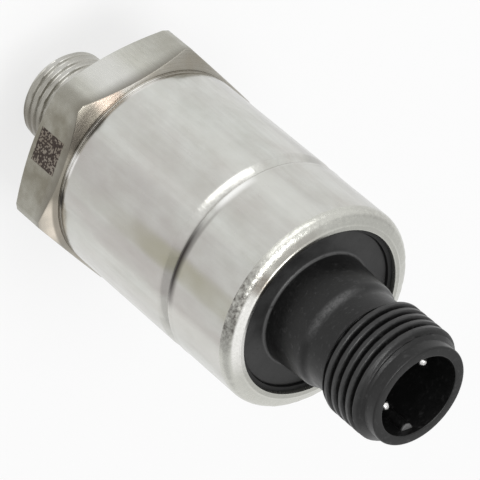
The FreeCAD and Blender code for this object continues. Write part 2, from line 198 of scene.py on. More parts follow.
def add_node(tree, kind, inputs=None, **settings):
    """New node of a kind, with its settings; each input is a number to set or a socket to link."""
    node = tree.nodes.new("ShaderNode" + kind)
    for key, setting in settings.items():
        setattr(node, key, setting)
    for key, feed in (inputs or {}).items():
        if isinstance(feed, bpy.types.NodeSocket):
            tree.links.new(feed, node.inputs[key])
        else:
            node.inputs[key].default_value = feed
    return node


class Shader:
    """A node material, built by naming nodes and what feeds them. Places are in millimetres."""

    def __init__(self, name):
        self.material = bpy.data.materials.new(name)
        self.material.use_nodes = True
        self.tree = self.material.node_tree
        self.tree.nodes.clear()
        spot = self.add("TexCoord").outputs["Object"]
        self.place = self.add("VectorMath", {0: spot, 3: 1 / MM}, operation="SCALE").outputs[0]
        self.z = self.add("SeparateXYZ", {0: self.place}).outputs[2]

    def add(self, kind, inputs=None, **settings):
        return add_node(self.tree, kind, inputs, **settings)

    @cached_property
    def radius(self):
        """Distance from the axis of the object."""
        flat = self.add("VectorMath", {0: self.place, 1: (1, 1, 0)}, operation="MULTIPLY").outputs[0]
        return self.add("VectorMath", {0: flat}, operation="LENGTH").outputs["Value"]

    def math(self, operation, first, second=0.0):
        return self.add("Math", {0: first, 1: second}, operation=operation).outputs[0]

    def product(self, first, *others):
        for other in others:
            first = self.math("MULTIPLY", first, other)
        return first

    def total(self, first, second):
        return self.math("ADD", first, second)

    def along(self, angle):
        """How far a place is from the axis towards a face angle, given in degrees."""
        turn = math.radians(angle)
        inputs = {0: self.place, 1: (math.cos(turn), math.sin(turn), 0)}
        return self.add("VectorMath", inputs, operation="DOT_PRODUCT").outputs["Value"]

    def spread(self, factor, low, high):
        """Map a factor of about 0.3 to 0.7, as noise gives, to a range."""
        inputs = {"Value": factor, "From Min": 0.3, "From Max": 0.7, "To Min": low, "To Max": high}
        return self.add("MapRange", inputs).outputs[0]

    def between(self, value, none, full):
        """0 at one limit and 1 at the other, with a smooth step; either of them may be the higher."""
        inputs = {"Value": value, "From Min": none, "From Max": full}
        return self.add("MapRange", inputs, interpolation_type="SMOOTHSTEP").outputs[0]

    def stripe(self, angle, half_width):
        """1 at a face angle (in degrees), falling to 0 at half_width degrees to each side."""
        near = self.math("DIVIDE", self.along(angle), self.radius)
        return self.between(near, math.cos(math.radians(half_width)), 1.0)

    def band(self, level, half_width):
        """1 at a level along the axis, falling to 0 at half_width to each side."""
        off = self.math("ABSOLUTE", self.math("SUBTRACT", self.z, level))
        return self.between(off, half_width, 0.0)

    def noise(self, stretch, detail=3.0, roughness=0.6, offset=(0.0, 0.0, 0.0), place=None):
        """Noise whose grain is 1 / stretch millimetres along x, y and z."""
        inputs = {0: place or self.place, 1: stretch, 2: offset}
        spot = self.add("VectorMath", inputs, operation="MULTIPLY_ADD").outputs[0]
        settings = {"Vector": spot, "Scale": 1.0, "Detail": detail, "Roughness": roughness}
        return self.add("TexNoise", settings).outputs[0]

    def rings(self, density, detail=2.0):
        """Noise that is the same all round the axis, as a lathe leaves it."""
        spot = self.add("CombineXYZ", {0: self.radius, 2: self.z}).outputs[0]
        return self.noise((density,) * 3, detail, place=spot)

    def mix(self, factor, first, second):
        """Colour between two, each of them a socket or its (red, green, blue)."""
        first, second = [side + (1,) if isinstance(side, tuple) else side for side in (first, second)]
        return self.add("Mix", {0: factor, 6: first, 7: second}, data_type="RGBA").outputs[2]

    def lay(self, tone, colour, *masks):
        """Lay a colour on a tone, as much as the product of the masks says."""
        return self.mix(self.product(*masks), tone, colour)

    def streaked(self, tone, streaks, breaks, least=0.35, most=1.3):
        """Lay soft streaks (face angle, half width, strength, colour) on a tone, broken by a noise."""
        for angle, half_width, strength, colour in streaks:
            stripe, share = self.stripe(angle, half_width), self.spread(breaks, least, most)
            tone = self.lay(tone, colour, stripe, share, strength)
        return tone

    def relief(self, *layers):
        """Normal from layers of bumps (height, strength, depth), each on the one before."""
        normal = {}
        for height, strength, depth in layers:
            inputs = {"Height": height, "Strength": strength, "Distance": depth * MM, **normal}
            normal = {"Normal": self.add("Bump", inputs).outputs[0]}
        return normal["Normal"]

    def finish(self, colour, roughness, normal, **constants):
        """Connect the surface and give back its material."""
        inputs = {"Base Color": colour, "Roughness": roughness, "Normal": normal}
        inputs.update({key.replace("_", " "): number for key, number in constants.items()})
        shader = self.add("BsdfPrincipled", inputs).outputs[0]
        self.add("OutputMaterial", {"Surface": shader})
        return self.material


def grey(tone, warmth=0.0):
    """Grey, a little redder and less blue by its warmth."""
    return (tone * (1 + warmth), tone, tone * (1 - warmth * 2))


# Tones fixed to the steel: face angle, half width in degrees, strength, colour. On the can they are
# brushing and stains, and in part painted reflections; the tables after it are painted reflections,
# highlights and shade, and heat tint.
CAN_STREAKS_AND_REFLECTIONS = (
    (196, 14, 0.4, (0.48, 0.47, 0.44)), (232, 8, 0.5, (0.70, 0.70, 0.67)),
    (268, 12, 0.4, (0.46, 0.44, 0.40)), (301, 9, 0.45, (0.70, 0.69, 0.66)),
    (334, 14, 0.35, (0.46, 0.46, 0.43)), (13, 10, 0.4, (0.38, 0.38, 0.37)),
    (57, 9, 0.5, (0.70, 0.71, 0.67)), (80, 10, 0.3, (0.45, 0.44, 0.41)),
    (106, 16, 0.55, (0.37, 0.345, 0.33)), (121, 12, 0.5, (0.38, 0.36, 0.335)),
    (134, 9, 0.55, (0.44, 0.41, 0.39)), (148, 10, 0.4, (0.66, 0.65, 0.61)),
)
# Painted reflection: a darker olive band on the can round face angle 119
OLIVE_PAINTED_REFLECTION = ((119, 8, 0.9, (0.36, 0.345, 0.265)),)
# Painted highlights round face angles 60 and 115 and painted shade round 92 and 135 along the weld
SEAM_PAINTED_LIGHT_AND_SHADE = (
    (60, 14, 0.9, (0.72, 0.71, 0.68)), (115, 9, 0.95, (0.80, 0.79, 0.77)),
    (92, 9, 0.7, (0.15, 0.14, 0.13)), (135, 7, 0.8, (0.07, 0.065, 0.06)),
)
# Painted shade on the crimp's slope: darker specks round face angle 115 and a darker band round 12
RIM_PAINTED_SHADE = ((115, 33, 0.85, (0.13, 0.12, 0.11)), (12, 26, 0.35, (0.34, 0.33, 0.31)))
# Painted highlight on the inner lip round face angle 130, painted shade round 75 and 99
LIP_PAINTED_LIGHT_AND_SHADE = (
    (130, 34, 0.9, (0.90, 0.89, 0.86)), (75, 26, 0.55, (0.32, 0.30, 0.27)),
    (99, 9, 0.7, (0.20, 0.17, 0.14)),
)
# Painted reflections on the port: darker bands round face angles 30 and 120, painted shade at the corner
# round 89, and a painted highlight round 68
PORT_PAINTED_REFLECTIONS = (
    (89, 6, 0.6, (0.24, 0.23, 0.20)), (68, 14, 0.5, (0.74, 0.74, 0.72)),
    (30, 24, 0.5, (0.30, 0.29, 0.25)), (120, 46, 0.9, (0.22, 0.205, 0.165)),
)
# Bronze heat tint with painted shade round face angle 78, painted shade round 97, and a painted highlight
# round 151 on the chamfers
HEAT_TINT_AND_REFLECTIONS = (
    (78, 10, 0.9, (0.50, 0.41, 0.34)), (97, 18, 1.0, (0.10, 0.09, 0.075)),
    (151, 17, 0.85, (0.84, 0.76, 0.65)),
)
# Painted shade and painted highlights by the groove, for what it mirrors: level above the groove's own,
# half width along the axis, face angle, half width in degrees, strength, colour
GROOVE_SHADE_AND_HIGHLIGHTS = (
    (0.95, 0.3, 97, 22, 0.6, (0.30, 0.29, 0.27)),
    (0.5, 0.75, 72, 15, 1.0, (0.96, 0.96, 0.94)),
    (0.45, 0.82, 117, 29, 1.0, (0.03, 0.025, 0.023)),
    (-0.1, 0.25, 100, 50, 0.45, (0.14, 0.13, 0.12)),
)
# Where a tone sets in and where it is full. Levels: the can's olive painted reflection, the weld's tone
# with its painted highlights and shade on the can and on the port's shoulder, the stud's half share of the
# painted reflections, the chamfers' heat tint and painted shade, the painted shade on the flats, the
# contacts' bright tips above their painted
# shade. Radii: the painted shade on the hexagon's chamfers, the crimp's slope. A stripe is a face angle
# and its half width in degrees.
OLIVE_REFLECTION_LEVELS = (8.0, 23.5)
CAN_WELD_LEVELS = (can_low.z + 0.45, can_low.z + 0.2)
PORT_WELD_LEVELS = (HEX_HEIGHT + 0.01, HEX_HEIGHT + 0.03)
STUD_LEVELS = (-0.2, -0.6)
CHAMFER_HEAT_AND_SHADE_LEVELS = (HEX_HEIGHT - 1.4 * HEX_CHAMFER, HEX_HEIGHT - 0.3)
FLAT_SHADE_LEVELS = (HEX_HEIGHT - 1.9, HEX_HEIGHT)
PIN_TIP_LEVELS = (pin_high.z - 0.65, pin_high.z - 0.3)
FACE_SHADE_RADII, FACE_SHADE_STRIPE = (11.35, 11.1), (150, 30)
lip_radius = can_high.x - FRONT_STEP - RIM_WIDTH + RIM_LIP
SLOPE_RADII, SLOPE_STRIPE = (lip_radius + 0.5, lip_radius + 0.8), (100, 70)
# Laser mark on one flat: its face angle, the ends of it across and along the flat, how far below
# the flat it may lie, the size of its blocks and the share of them that is left out
MARK_ANGLE, MARK_ACROSS, MARK_ALONG = 120, (-2.37, 1.13), (0.7, 4.1)
MARK_DEPTH, MARK_CELL, MARK_EMPTY = 0.2, 0.155, 0.34


def weld_seam_with_painted_light(shader, breaks):
    """Tone of the narrow weld between the port's shoulder and the can, with painted highlights and painted
    shade for its reflections.
    """
    return shader.streaked((0.34, 0.32, 0.28), SEAM_PAINTED_LIGHT_AND_SHADE, breaks, 0.8)


def brushed_steel():
    """Drawn can: fine streaks along the axis, faint cloudy tints, painted reflections in its streaks, and
    painted shade and highlights by the groove and the weld.
    """
    shader = Shader("can_steel_brushed")
    fine = shader.noise((9.0, 9.0, 0.25), 4.0)
    broad = shader.noise((1.1, 1.1, 0.05), 2.0, offset=(3.1, 0.0, 0.0))
    cloud = shader.noise((0.22, 0.22, 0.12), 2.0)
    marks = shader.noise((2.2, 2.2, 1.4), 5.0)
    drawn = shader.noise((2.6, 2.6, 0.09), 3.0)
    smudge = shader.noise((0.5, 0.5, 0.3), 4.0, offset=(0.0, 7.0, 0.0))
    tone = shader.mix(shader.spread(fine, 0.3, 0.7), (0.50, 0.51, 0.475), (0.61, 0.62, 0.58))
    for pattern, most, colour in (
        (broad, 0.5, (0.47, 0.465, 0.41)), (cloud, 0.5, (0.58, 0.53, 0.51)),
        (smudge, 0.65, (0.68, 0.69, 0.66)), (drawn, 0.22, (0.42, 0.41, 0.39)),
    ):
        tone = shader.lay(tone, colour, shader.spread(pattern, 0.0, most))
    tone = shader.streaked(tone, CAN_STREAKS_AND_REFLECTIONS, cloud)
    # Painted reflection: the olive band, faded in along the axis
    olive = shader.streaked(tone, OLIVE_PAINTED_REFLECTION, cloud)
    tone = shader.mix(shader.between(shader.z, *OLIVE_REFLECTION_LEVELS), tone, olive)
    # Weld tone with painted highlights and painted shade at the can's rear edge
    tone = shader.mix(shader.between(shader.z, *CAN_WELD_LEVELS), tone, weld_seam_with_painted_light(shader, cloud))
    # Painted shade in and by the groove's valley and a painted highlight on its lip
    for up, half_length, angle, half_width, strength, colour in GROOVE_SHADE_AND_HIGHLIGHTS:
        band, stripe = shader.band(GROOVE_LEVEL + up, half_length), shader.stripe(angle, half_width)
        tone = shader.lay(tone, colour, band, stripe, strength)
    rough = shader.total(shader.spread(fine, 0.15, 0.25), shader.spread(marks, -0.02, 0.05))
    normal = shader.relief((broad, 0.5, 0.06), (fine, 0.16, 0.015), (marks, 0.06, 0.03))
    return shader.finish(tone, rough, normal, Metallic=1.0)


def crimped_steel():
    """Rim that a roller has pressed over: hammered slope outside, smooth lip inside, with painted shade on
    the slope and a painted highlight and painted shade on the lip.
    """
    shader = Shader("can_steel_crimped")
    grain = shader.noise((4.0, 4.0, 4.0), 3.0)
    dents = shader.noise((1.7, 1.7, 2.6), 3.0, 0.55)
    specks = shader.noise((2.3, 2.3, 3.0), 3.0)
    slope = shader.between(shader.radius, *SLOPE_RADII)
    tone = shader.mix(shader.spread(grain, 0.0, 1.0), (0.55, 0.55, 0.51), (0.61, 0.61, 0.56))
    # Painted highlight and painted shade on the lip, painted shade on the slope
    lip = shader.streaked(tone, LIP_PAINTED_LIGHT_AND_SHADE, grain, 0.8)
    rim = shader.streaked(tone, RIM_PAINTED_SHADE, specks, 0.2)
    tone = shader.mix(slope, lip, rim)
    rolled = shader.product(slope, shader.total(shader.product(shader.stripe(*SLOPE_STRIPE), 0.9), 0.1))
    rough = shader.total(shader.spread(grain, 0.16, 0.28), shader.product(rolled, 0.1))
    normal = shader.relief((dents, shader.product(rolled, 0.3), 0.25), (grain, 0.10, 0.03))
    return shader.finish(tone, rough, normal, Metallic=1.0)


def turned_steel():
    """Stud, shoulder and chamfers as the lathe leaves them, with heat tint by the weld, and painted
    reflections, highlights and shade.
    """
    shader = Shader("port_steel_turned")
    rings = shader.rings(7.0)
    grain = shader.noise((3.0, 3.0, 3.0), 4.0)
    tint = shader.noise((0.5, 0.5, 0.5), 2.0)
    plain = shader.mix(shader.spread(rings, 0.0, 1.0), (0.42, 0.41, 0.37), (0.62, 0.61, 0.57))
    # Painted reflections on the turned steel, at half strength on the stud
    streaky = shader.streaked(plain, PORT_PAINTED_REFLECTIONS, tint, 0.8)
    tone = shader.mix(shader.product(shader.between(shader.z, *STUD_LEVELS), 0.5), streaky, plain)
    # Heat tint and painted shade on the chamfers towards the weld, then heat tint, painted shade and a
    # painted highlight by face angle
    near_weld = shader.between(shader.z, *CHAMFER_HEAT_AND_SHADE_LEVELS)
    tone = shader.lay(tone, (0.36, 0.33, 0.275), near_weld, shader.spread(tint, 0.3, 0.8))
    tone = shader.mix(near_weld, tone, shader.streaked(tone, HEAT_TINT_AND_REFLECTIONS, tint, 0.8))
    # Painted shade on the turned steel round face angle 150, within the chamfers' outer part
    inside, stripe = shader.between(shader.radius, *FACE_SHADE_RADII), shader.stripe(*FACE_SHADE_STRIPE)
    tone = shader.lay(tone, (0.23, 0.21, 0.175), inside, stripe, 0.75)
    # Weld tone with painted highlights and painted shade from the port's shoulder up
    tone = shader.mix(shader.between(shader.z, *PORT_WELD_LEVELS), tone, weld_seam_with_painted_light(shader, tint))
    rough = shader.total(shader.spread(rings, 0.22, 0.34), shader.spread(grain, -0.03, 0.06))
    normal = shader.relief((rings, 0.30, 0.03), (grain, 0.12, 0.02))
    return shader.finish(tone, rough, normal, Metallic=1.0)


def flat_steel():
    """Flats of the hexagon bar, drawn along the axis, with painted reflections and painted shade towards
    the shoulder; one of them has a laser-marked square.
    """
    shader = Shader("port_steel_flats")
    drawn = shader.noise((4.0, 4.0, 0.5), 4.0)
    cloud = shader.noise((0.35, 0.35, 0.35), 3.0)
    tone = shader.mix(shader.spread(drawn, 0.0, 1.0), (0.51, 0.51, 0.465), (0.61, 0.61, 0.56))
    tone = shader.lay(tone, (0.50, 0.49, 0.43), shader.spread(cloud, 0.0, 0.5))
    # Painted reflections on the flats
    tone = shader.streaked(tone, PORT_PAINTED_REFLECTIONS, cloud, 0.7)
    # Painted shade on the flats, darker towards the shoulder
    tone = shader.lay(tone, (0.17, 0.155, 0.13), shader.between(shader.z, *FLAT_SHADE_LEVELS), 0.85)
    square, mark = square_mark(shader)
    tone = shader.lay(tone, (0.16, 0.12, 0.10), square, 0.5)
    tone = shader.lay(tone, (0.040, 0.029, 0.026), mark)
    rough = shader.total(shader.spread(drawn, 0.22, 0.32), shader.spread(cloud, -0.04, 0.04))
    rough = shader.total(rough, shader.product(mark, 0.25))
    normal = shader.relief((drawn, 0.20, 0.02), (mark, -0.25, 0.02))
    return shader.finish(tone, rough, normal, Metallic=1.0)


def square_mark(shader):
    """The whole of a generic square, and its small random blocks, which hold no data."""
    across = shader.along(MARK_ANGLE + 90)
    inside = shader.math("GREATER_THAN", shader.along(MARK_ANGLE), FLAT_RADIUS - MARK_DEPTH)
    for position, (low, high) in ((across, MARK_ACROSS), (shader.z, MARK_ALONG)):
        above, below = shader.math("GREATER_THAN", position, low), shader.math("LESS_THAN", position, high)
        inside = shader.product(inside, above, below)
    column, row = [shader.math("DIVIDE", position, MARK_CELL) for position in (across, shader.z)]
    cell = {0: shader.math("FLOOR", column), 1: shader.math("FLOOR", row)}
    spot = shader.add("CombineXYZ", cell).outputs[0]
    block = shader.add("TexWhiteNoise", {"Vector": spot}).outputs[0]
    filled = shader.math("GREATER_THAN", block, MARK_EMPTY)
    worn = shader.spread(shader.noise((6.0, 6.0, 6.0), 2.0), 0.75, 1.0)
    return inside, shader.product(inside, filled, worn)


def black_plastic():
    """Moulded plug: glass-filled plastic with a fine eroded grain.

    The lighter tones at its edges are in part rubbed places and in part painted highlights; the line at
    the collar's foot and the key's top are painted highlights only, and the lighter disc is dust with a
    painted sheen.
    """
    shader = Shader("plug_plastic_black")
    grain = shader.noise((7.0, 7.0, 7.0), 3.0)
    flow = shader.noise((0.6, 0.6, 0.6), 3.0)
    scuffs = shader.noise((1.6, 1.6, 3.2), 4.0)
    scratch = shader.noise((2.8, 2.8, 3.4), 6.0, 0.75)
    first_crest_rubbed_and_lit = (shader.between(shader.radius, THREAD_RADIUS - 0.3, THREAD_RADIUS - 0.05),
                   shader.between(shader.z, thread_bottom - 0.4, thread_bottom))
    disc = shader.between(shader.z, DISC_LEVEL + 0.2, DISC_LEVEL)
    collar_edge_scuffs_and_highlight = (shader.band(COLLAR_LEVEL - 0.15, 0.6), shader.stripe(80, 45))
    collar_foot_highlight = (shader.between(shader.radius, COLLAR_BASE + 0.42, COLLAR_BASE + 0.22),
                   shader.between(shader.z, DISC_LEVEL + 0.3, DISC_LEVEL + 0.15),
                   shader.between(shader.z, DISC_LEVEL, DISC_LEVEL + 0.05))
    key_top_highlight = (shader.between(shader.radius, SOCKET_RADIUS - 0.02, SOCKET_RADIUS - 0.1),
               shader.between(shader.z, key_level - 0.25, key_level - 0.1))
    tone = shader.mix(shader.spread(grain, 0.0, 1.0), grey(0.003), grey(0.008))
    # Rubbed places and a painted highlight on the first crest
    tone = shader.lay(tone, grey(0.030), *first_crest_rubbed_and_lit, shader.spread(scuffs, 0.4, 1.0))
    # Dust and a painted sheen on the disc and below it
    tone = shader.lay(tone, grey(0.036), disc, shader.spread(flow, 0.4, 0.9))
    # Scratches and a painted highlight on the collar's edge round face angle 80
    tone = shader.lay(tone, grey(0.075), *collar_edge_scuffs_and_highlight, shader.spread(scratch, 0.0, 1.2))
    # Painted highlight: a light line at the collar's foot
    tone = shader.lay(tone, grey(0.065), *collar_foot_highlight)
    # Painted highlight on the key's top
    tone = shader.lay(tone, grey(0.11), *key_top_highlight)
    tone = shader.lay(tone, grey(0.022), shader.between(scuffs, 0.56, 0.70))
    rough = shader.total(shader.spread(flow, 0.31, 0.43), shader.spread(grain, -0.04, 0.04))
    normal = shader.relief((scuffs, 0.16, 0.06), (grain, 0.22, 0.04))
    return shader.finish(tone, rough, normal, Specular_IOR_Level=0.37)


def plated_contact():
    """Plated pin; the dark tone of its shaft stands in for the shade in the socket of the photo."""
    shader = Shader("contact_plating")
    rings = shader.noise((2.0, 2.0, 9.0), 3.0)
    plating = shader.mix(shader.spread(rings, 0.0, 1.0), grey(0.66, 0.01), grey(0.80, 0.01))
    tip = shader.between(shader.z, *PIN_TIP_LEVELS)
    tone = shader.mix(tip, grey(0.10, 0.03), plating)
    rough, normal = shader.spread(rings, 0.16, 0.28), shader.relief((rings, 0.1, 0.02))
    return shader.finish(tone, rough, normal, Metallic=1.0)


def matt(name, dark, light, rough, stretch, depth, metallic=0.0):
    """A plainer surface: two tones of one colour, with grain in its bump and roughness."""
    shader = Shader(name)
    grain = shader.noise(stretch, 3.0)
    tone = shader.mix(shader.spread(grain, 0.0, 1.0), dark, light)
    roughness = shader.spread(grain, rough - 0.06, rough + 0.06)
    return shader.finish(tone, roughness, shader.relief((grain, 0.25, depth)), Metallic=metallic)


def hexagon(angle):
    """Radius of the hexagon bar, turned to CORNER_RADIUS at its corners."""
    from_flat = (angle + math.pi / 6) % (math.pi / 3) - math.pi / 6
    return min(FLAT_RADIUS / math.cos(from_flat), CORNER_RADIUS)


stud_levels = levels(port_low.z + 0.02, -UNDERCUT_LENGTH, STUD_ROW_SPACING)


def port_column(angle):
    """Profile of the port at an angle: bore, stud, undercut, hexagon, shoulder, weld, spigot and boss."""
    stud = []
    for level in stud_levels:
        limit = min(STUD_RADIUS - STUD_CHAMFER + level - port_low.z, STUD_RADIUS,
                    UNDERCUT_RADIUS - UNDERCUT_LENGTH - level)
        crest = threaded(level, angle, STUD_RADIUS, STUD_DEPTH, STUD_PITCH, STUD_ROOT_LEVEL, STUD_FLATS)
        stud.append((min(limit, crest), level, 0))
    bar, shoulder = hexagon(angle), HEX_HEIGHT + SHOULDER_HEIGHT
    chamfer = HEX_CHAMFER * (bar - HEX_FACE_RADIUS) / (CORNER_RADIUS - HEX_FACE_RADIUS)
    spigot, boss = port_high.z - BOSS_HEIGHT, port_high.z
    return rounded([
        (BORE_RADIUS, port_low.z, 0.15),
        *stud,
        (UNDERCUT_RADIUS, RECESS_DEPTH, 0.1),
        (RECESS_RADIUS, RECESS_DEPTH, 0.05),
        (RECESS_RADIUS, 0, 0.1),
        (HEX_FACE_RADIUS, 0, 0.06),
        (bar, chamfer, 0.1),
        (bar, HEX_HEIGHT - chamfer, 0.1),
        (HEX_FACE_RADIUS, HEX_HEIGHT, 0.06),
        (SHOULDER_RADIUS, HEX_HEIGHT, 0.03),
        (SHOULDER_RADIUS, shoulder, 0.06),
        (WELD_RADIUS, shoulder + WELD_FOOT, 0.04),
        (WELD_RADIUS, can_low.z - WELD_GAP, 0),
        (can_bore, can_low.z - WELD_GAP, 0),
        (can_bore, spigot, 0.1),
        (BOSS_RADIUS, spigot, 0.1),
        (BOSS_RADIUS, boss, 0.1),
        (BORE_RADIUS, boss, 0.1),
    ])


# Rows from the middle of one chamfer's corner to the middle of the other's lie on the flats. The
# bore's corner, the stud and the four corners up to the hexagon's face come before them.
flat_start = 5 * CORNER_ROWS + len(stud_levels)
flat_rows = range(flat_start + CORNER_ROWS // 2, flat_start + CORNER_ROWS + CORNER_ROWS // 2 - 1)
corner_start = math.acos(FLAT_RADIUS / CORNER_RADIUS)
hex_edges = [math.radians(60 * side) + sign * corner_start for side in range(6) for sign in (-1, 1)]

rear_levels = levels(can_low.z + 1, GROOVE_LEVEL - GROOVE_RUN_IN - 0.2, 2.0)
front_levels = levels(GROOVE_LEVEL + 1.2, can_high.z - RIM_BEND - 0.5, 1.5)


def can_column(angle):
    """Profile of the can: wall, rolled groove and crimped rim, with small dents in the crimp."""
    dent = sum(math.sin(waves * angle + phase) for waves, phase in DENTS) / len(DENTS)
    rear, front, rim = can_high.x, can_high.x - FRONT_STEP, can_high.z
    valley = rear - GROOVE_DEPTH
    run_in = [
        (rear - GROOVE_DEPTH * share**RUN_IN_CURVE, GROOVE_LEVEL - RUN_IN_LENGTH * (1 - share), 0)
        for share in RUN_IN_SHARES
    ]
    bend = []
    for step in range(BEND_STEPS):
        turn = BEND_TURN * step / (BEND_STEPS - 1)
        push = DENT_DEPTH * dent * math.sin(2 * turn)
        bend.append((front - RIM_BEND + (RIM_BEND + push) * math.cos(turn),
                     rim - RIM_DROP - RIM_BEND + (RIM_BEND + push) * math.sin(turn), 0))
    return rounded([
        (can_bore, can_low.z, 0.05),
        (rear, can_low.z, CAN_EDGE),
        *[(rear, level, 0) for level in rear_levels],
        *run_in,
        (valley, GROOVE_LEVEL, 0.06),
        (front - GROOVE_LIP * 0.75, GROOVE_LEVEL, 0.1),
        (front - GROOVE_LIP * 0.2, GROOVE_LEVEL + GROOVE_LIP * 0.2, 0.3),
        (front + 0.06, GROOVE_LEVEL + GROOVE_LIP, 0.15),
        (front, GROOVE_LEVEL + GROOVE_LIP + 0.45, 0.15),
        *[(front, level, 0) for level in front_levels],
        *bend,
        (front - RIM_WIDTH + RIM_LIP, rim - 0.1, 0.12),
        (front - RIM_WIDTH + RIM_LIP * 0.75, rim, 0.08),
        (front - RIM_WIDTH, rim, 0.16),
        (front - RIM_WIDTH, rim - CAN_WALL, 0.1),
        (front - RIM_BEND, rim - CAN_WALL, 0),
        (front - CAN_WALL, rim - RIM_BEND, 0),
        (front - CAN_WALL, GROOVE_LEVEL + 0.9, 0),
        (valley - CAN_WALL, GROOVE_LEVEL, 0.1),
        (can_bore, GROOVE_LEVEL - 0.8, 0),
    ])


# The crimp's rows: the bend and the four corners of the lip. Before them come the two corners of
# the can's edge, the wall's levels, the run-in and the groove's five corners.
rim_start = 7 * CORNER_ROWS + len(rear_levels) + len(RUN_IN_SHARES) + len(front_levels)
rim_rows = range(rim_start + 1, rim_start + BEND_STEPS + 4 * CORNER_ROWS)


def socket_wall(angle):
    """Radius of the socket's wall at an angle, with the key that stands in it."""
    turn = (angle - KEY_ANGLE + math.pi) % math.tau - math.pi
    aside = SOCKET_RADIUS * math.sin(turn)
    if abs(turn) > math.pi / 2 or abs(aside) > KEY_RADIUS:
        return SOCKET_RADIUS
    return SOCKET_RADIUS * math.cos(turn) - math.sqrt(KEY_RADIUS**2 - aside**2)


thread_levels = levels(
    thread_bottom - (THREAD_RADIUS - NECK_RADIUS), plug_high.z - NOSE_LENGTH, THREAD_ROW_SPACING)


def plug_column(angle):
    """Profile of the plug: web, skirt, disc, collar, neck, thread, nose and keyed socket."""
    thread = []
    for level in thread_levels:
        limit = min(THREAD_RADIUS, NECK_RADIUS + level - thread_levels[0],
                    NOSE_RADIUS + thread_levels[-1] - level)
        crest = threaded(level, angle, THREAD_RADIUS, THREAD_DEPTH, THREAD_PITCH,
                         THREAD_ROOT_LEVEL, THREAD_FLATS)
        thread.append((min(limit, crest), level, 0))
    skirt, wall = plug_high.x, socket_wall(angle)
    top, floor = plug_high.z, plug_high.z - SOCKET_DEPTH
    return rounded([
        (0, WEB_LEVEL, 0),
        (skirt - SKIRT_WALL, WEB_LEVEL, 0),
        (skirt - SKIRT_WALL, plug_low.z, 0),
        (skirt, plug_low.z, 0.1),
        (skirt, DISC_SHOULDER, 0.1),
        (DISC_RADIUS, DISC_SHOULDER, 0.1),
        (DISC_RADIUS, DISC_LEVEL, 0.2),
        (COLLAR_BASE, DISC_LEVEL, 0.35),
        (COLLAR_RADIUS, COLLAR_LEVEL - COLLAR_ROUND, 0.4),
        (NECK_RADIUS, COLLAR_LEVEL + 0.2, 0.5),
        *thread,
        (NOSE_RADIUS, top, NOSE_ROUND),
        (SOCKET_RADIUS, top, 0.12),
        (SOCKET_RADIUS, key_level, 0),
        (wall, key_level - 0.02, 0.16),
        (wall, floor, 0.1),
        (0, floor, 0),
    ])


def pin_column(angle):
    """Profile of a contact, the same at each angle: tail, barb, shaft and tip."""
    barb, top = DISC_LEVEL + PIN_BARB_LENGTH, pin_high.z
    return rounded([
        (0, pin_low.z, 0),
        (PIN_TAIL_RADIUS, pin_low.z, 0.1),
        (PIN_TAIL_RADIUS, DISC_LEVEL, 0),
        (PIN_BARB_RADIUS, DISC_LEVEL, 0),
        (PIN_BARB_RADIUS, barb, 0),
        (PIN_RADIUS, barb, 0),
        (PIN_RADIUS, top - PIN_TIP_LENGTH, 0.2),
        (PIN_TIP_RADIUS, top, 0.15),
        (0, top, 0),
    ], steps=8)


def stand_for(piece, node):
    """Fix a piece to the part's body in place of a node of the CAD."""
    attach(piece, "root")
    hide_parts(node)


plastic = black_plastic()
rubber = matt("seal_rubber", (0.003, 0.003, 0.003), (0.006, 0.006, 0.006), 0.6, (6.0, 6.0, 6.0), 0.02)
plating = plated_contact()

port = swept("port_body", port_column, turn_angles(360, hex_edges), True,
             [turned_steel(), flat_steel()], flat_rows)
can = swept("can_shell", can_column, turn_angles(480), True, [brushed_steel(), crimped_steel()], rim_rows)
key_half = math.asin(KEY_RADIUS / SOCKET_RADIUS)
key_angles = [KEY_ANGLE + key_half * share / 10 for share in range(-11, 12)]
plug = swept("plug_body", plug_column, turn_angles(300, key_angles), False, [plastic])
stand_for(port, "pressure_port")
stand_for(can, "housing_can")
stand_for(plug, "connector_housing")

for name in ("contact_pin_1", "contact_pin_3"):
    low, high = corners_of(name)
    pin = swept(name + "_turned", pin_column, turn_angles(40), False, [plating])
    pin.data.transform(Matrix.Translation(Vector(((low.x + high.x) / 2 * MM, 0, 0))))
    stand_for(pin, name)

# Seals and hidden pieces keep the shapes of the CAD and get a finish.
laminate = matt("board_laminate", (0.02, 0.11, 0.05), (0.03, 0.16, 0.08), 0.4, (5.0, 5.0, 5.0), 0.02)
pale = matt("pale_moulding", (0.62, 0.59, 0.52), (0.70, 0.67, 0.60), 0.45, (4.0, 4.0, 4.0), 0.02)
header = matt("header_moulding", (0.03, 0.03, 0.035), (0.05, 0.05, 0.055), 0.5, (5.0, 5.0, 5.0), 0.02)
resin = matt("chip_resin", (0.018, 0.018, 0.02), (0.03, 0.03, 0.032), 0.55, (7.0, 7.0, 7.0), 0.02)
ceramic = matt("capacitor_body", (0.35, 0.24, 0.15), (0.44, 0.31, 0.20), 0.4, (5.0, 5.0, 5.0), 0.01)
brass = matt("link_brass", (0.62, 0.50, 0.24), (0.74, 0.60, 0.30), 0.3, (6.0, 6.0, 2.0), 0.01, 1.0)
film = matt("gauge_film", (0.46, 0.24, 0.07), (0.58, 0.31, 0.10), 0.35, (8.0, 8.0, 8.0), 0.01)
cell = matt("cell_steel", (0.52, 0.52, 0.50), (0.62, 0.62, 0.60), 0.3, (6.0, 6.0, 1.0), 0.01, 1.0)
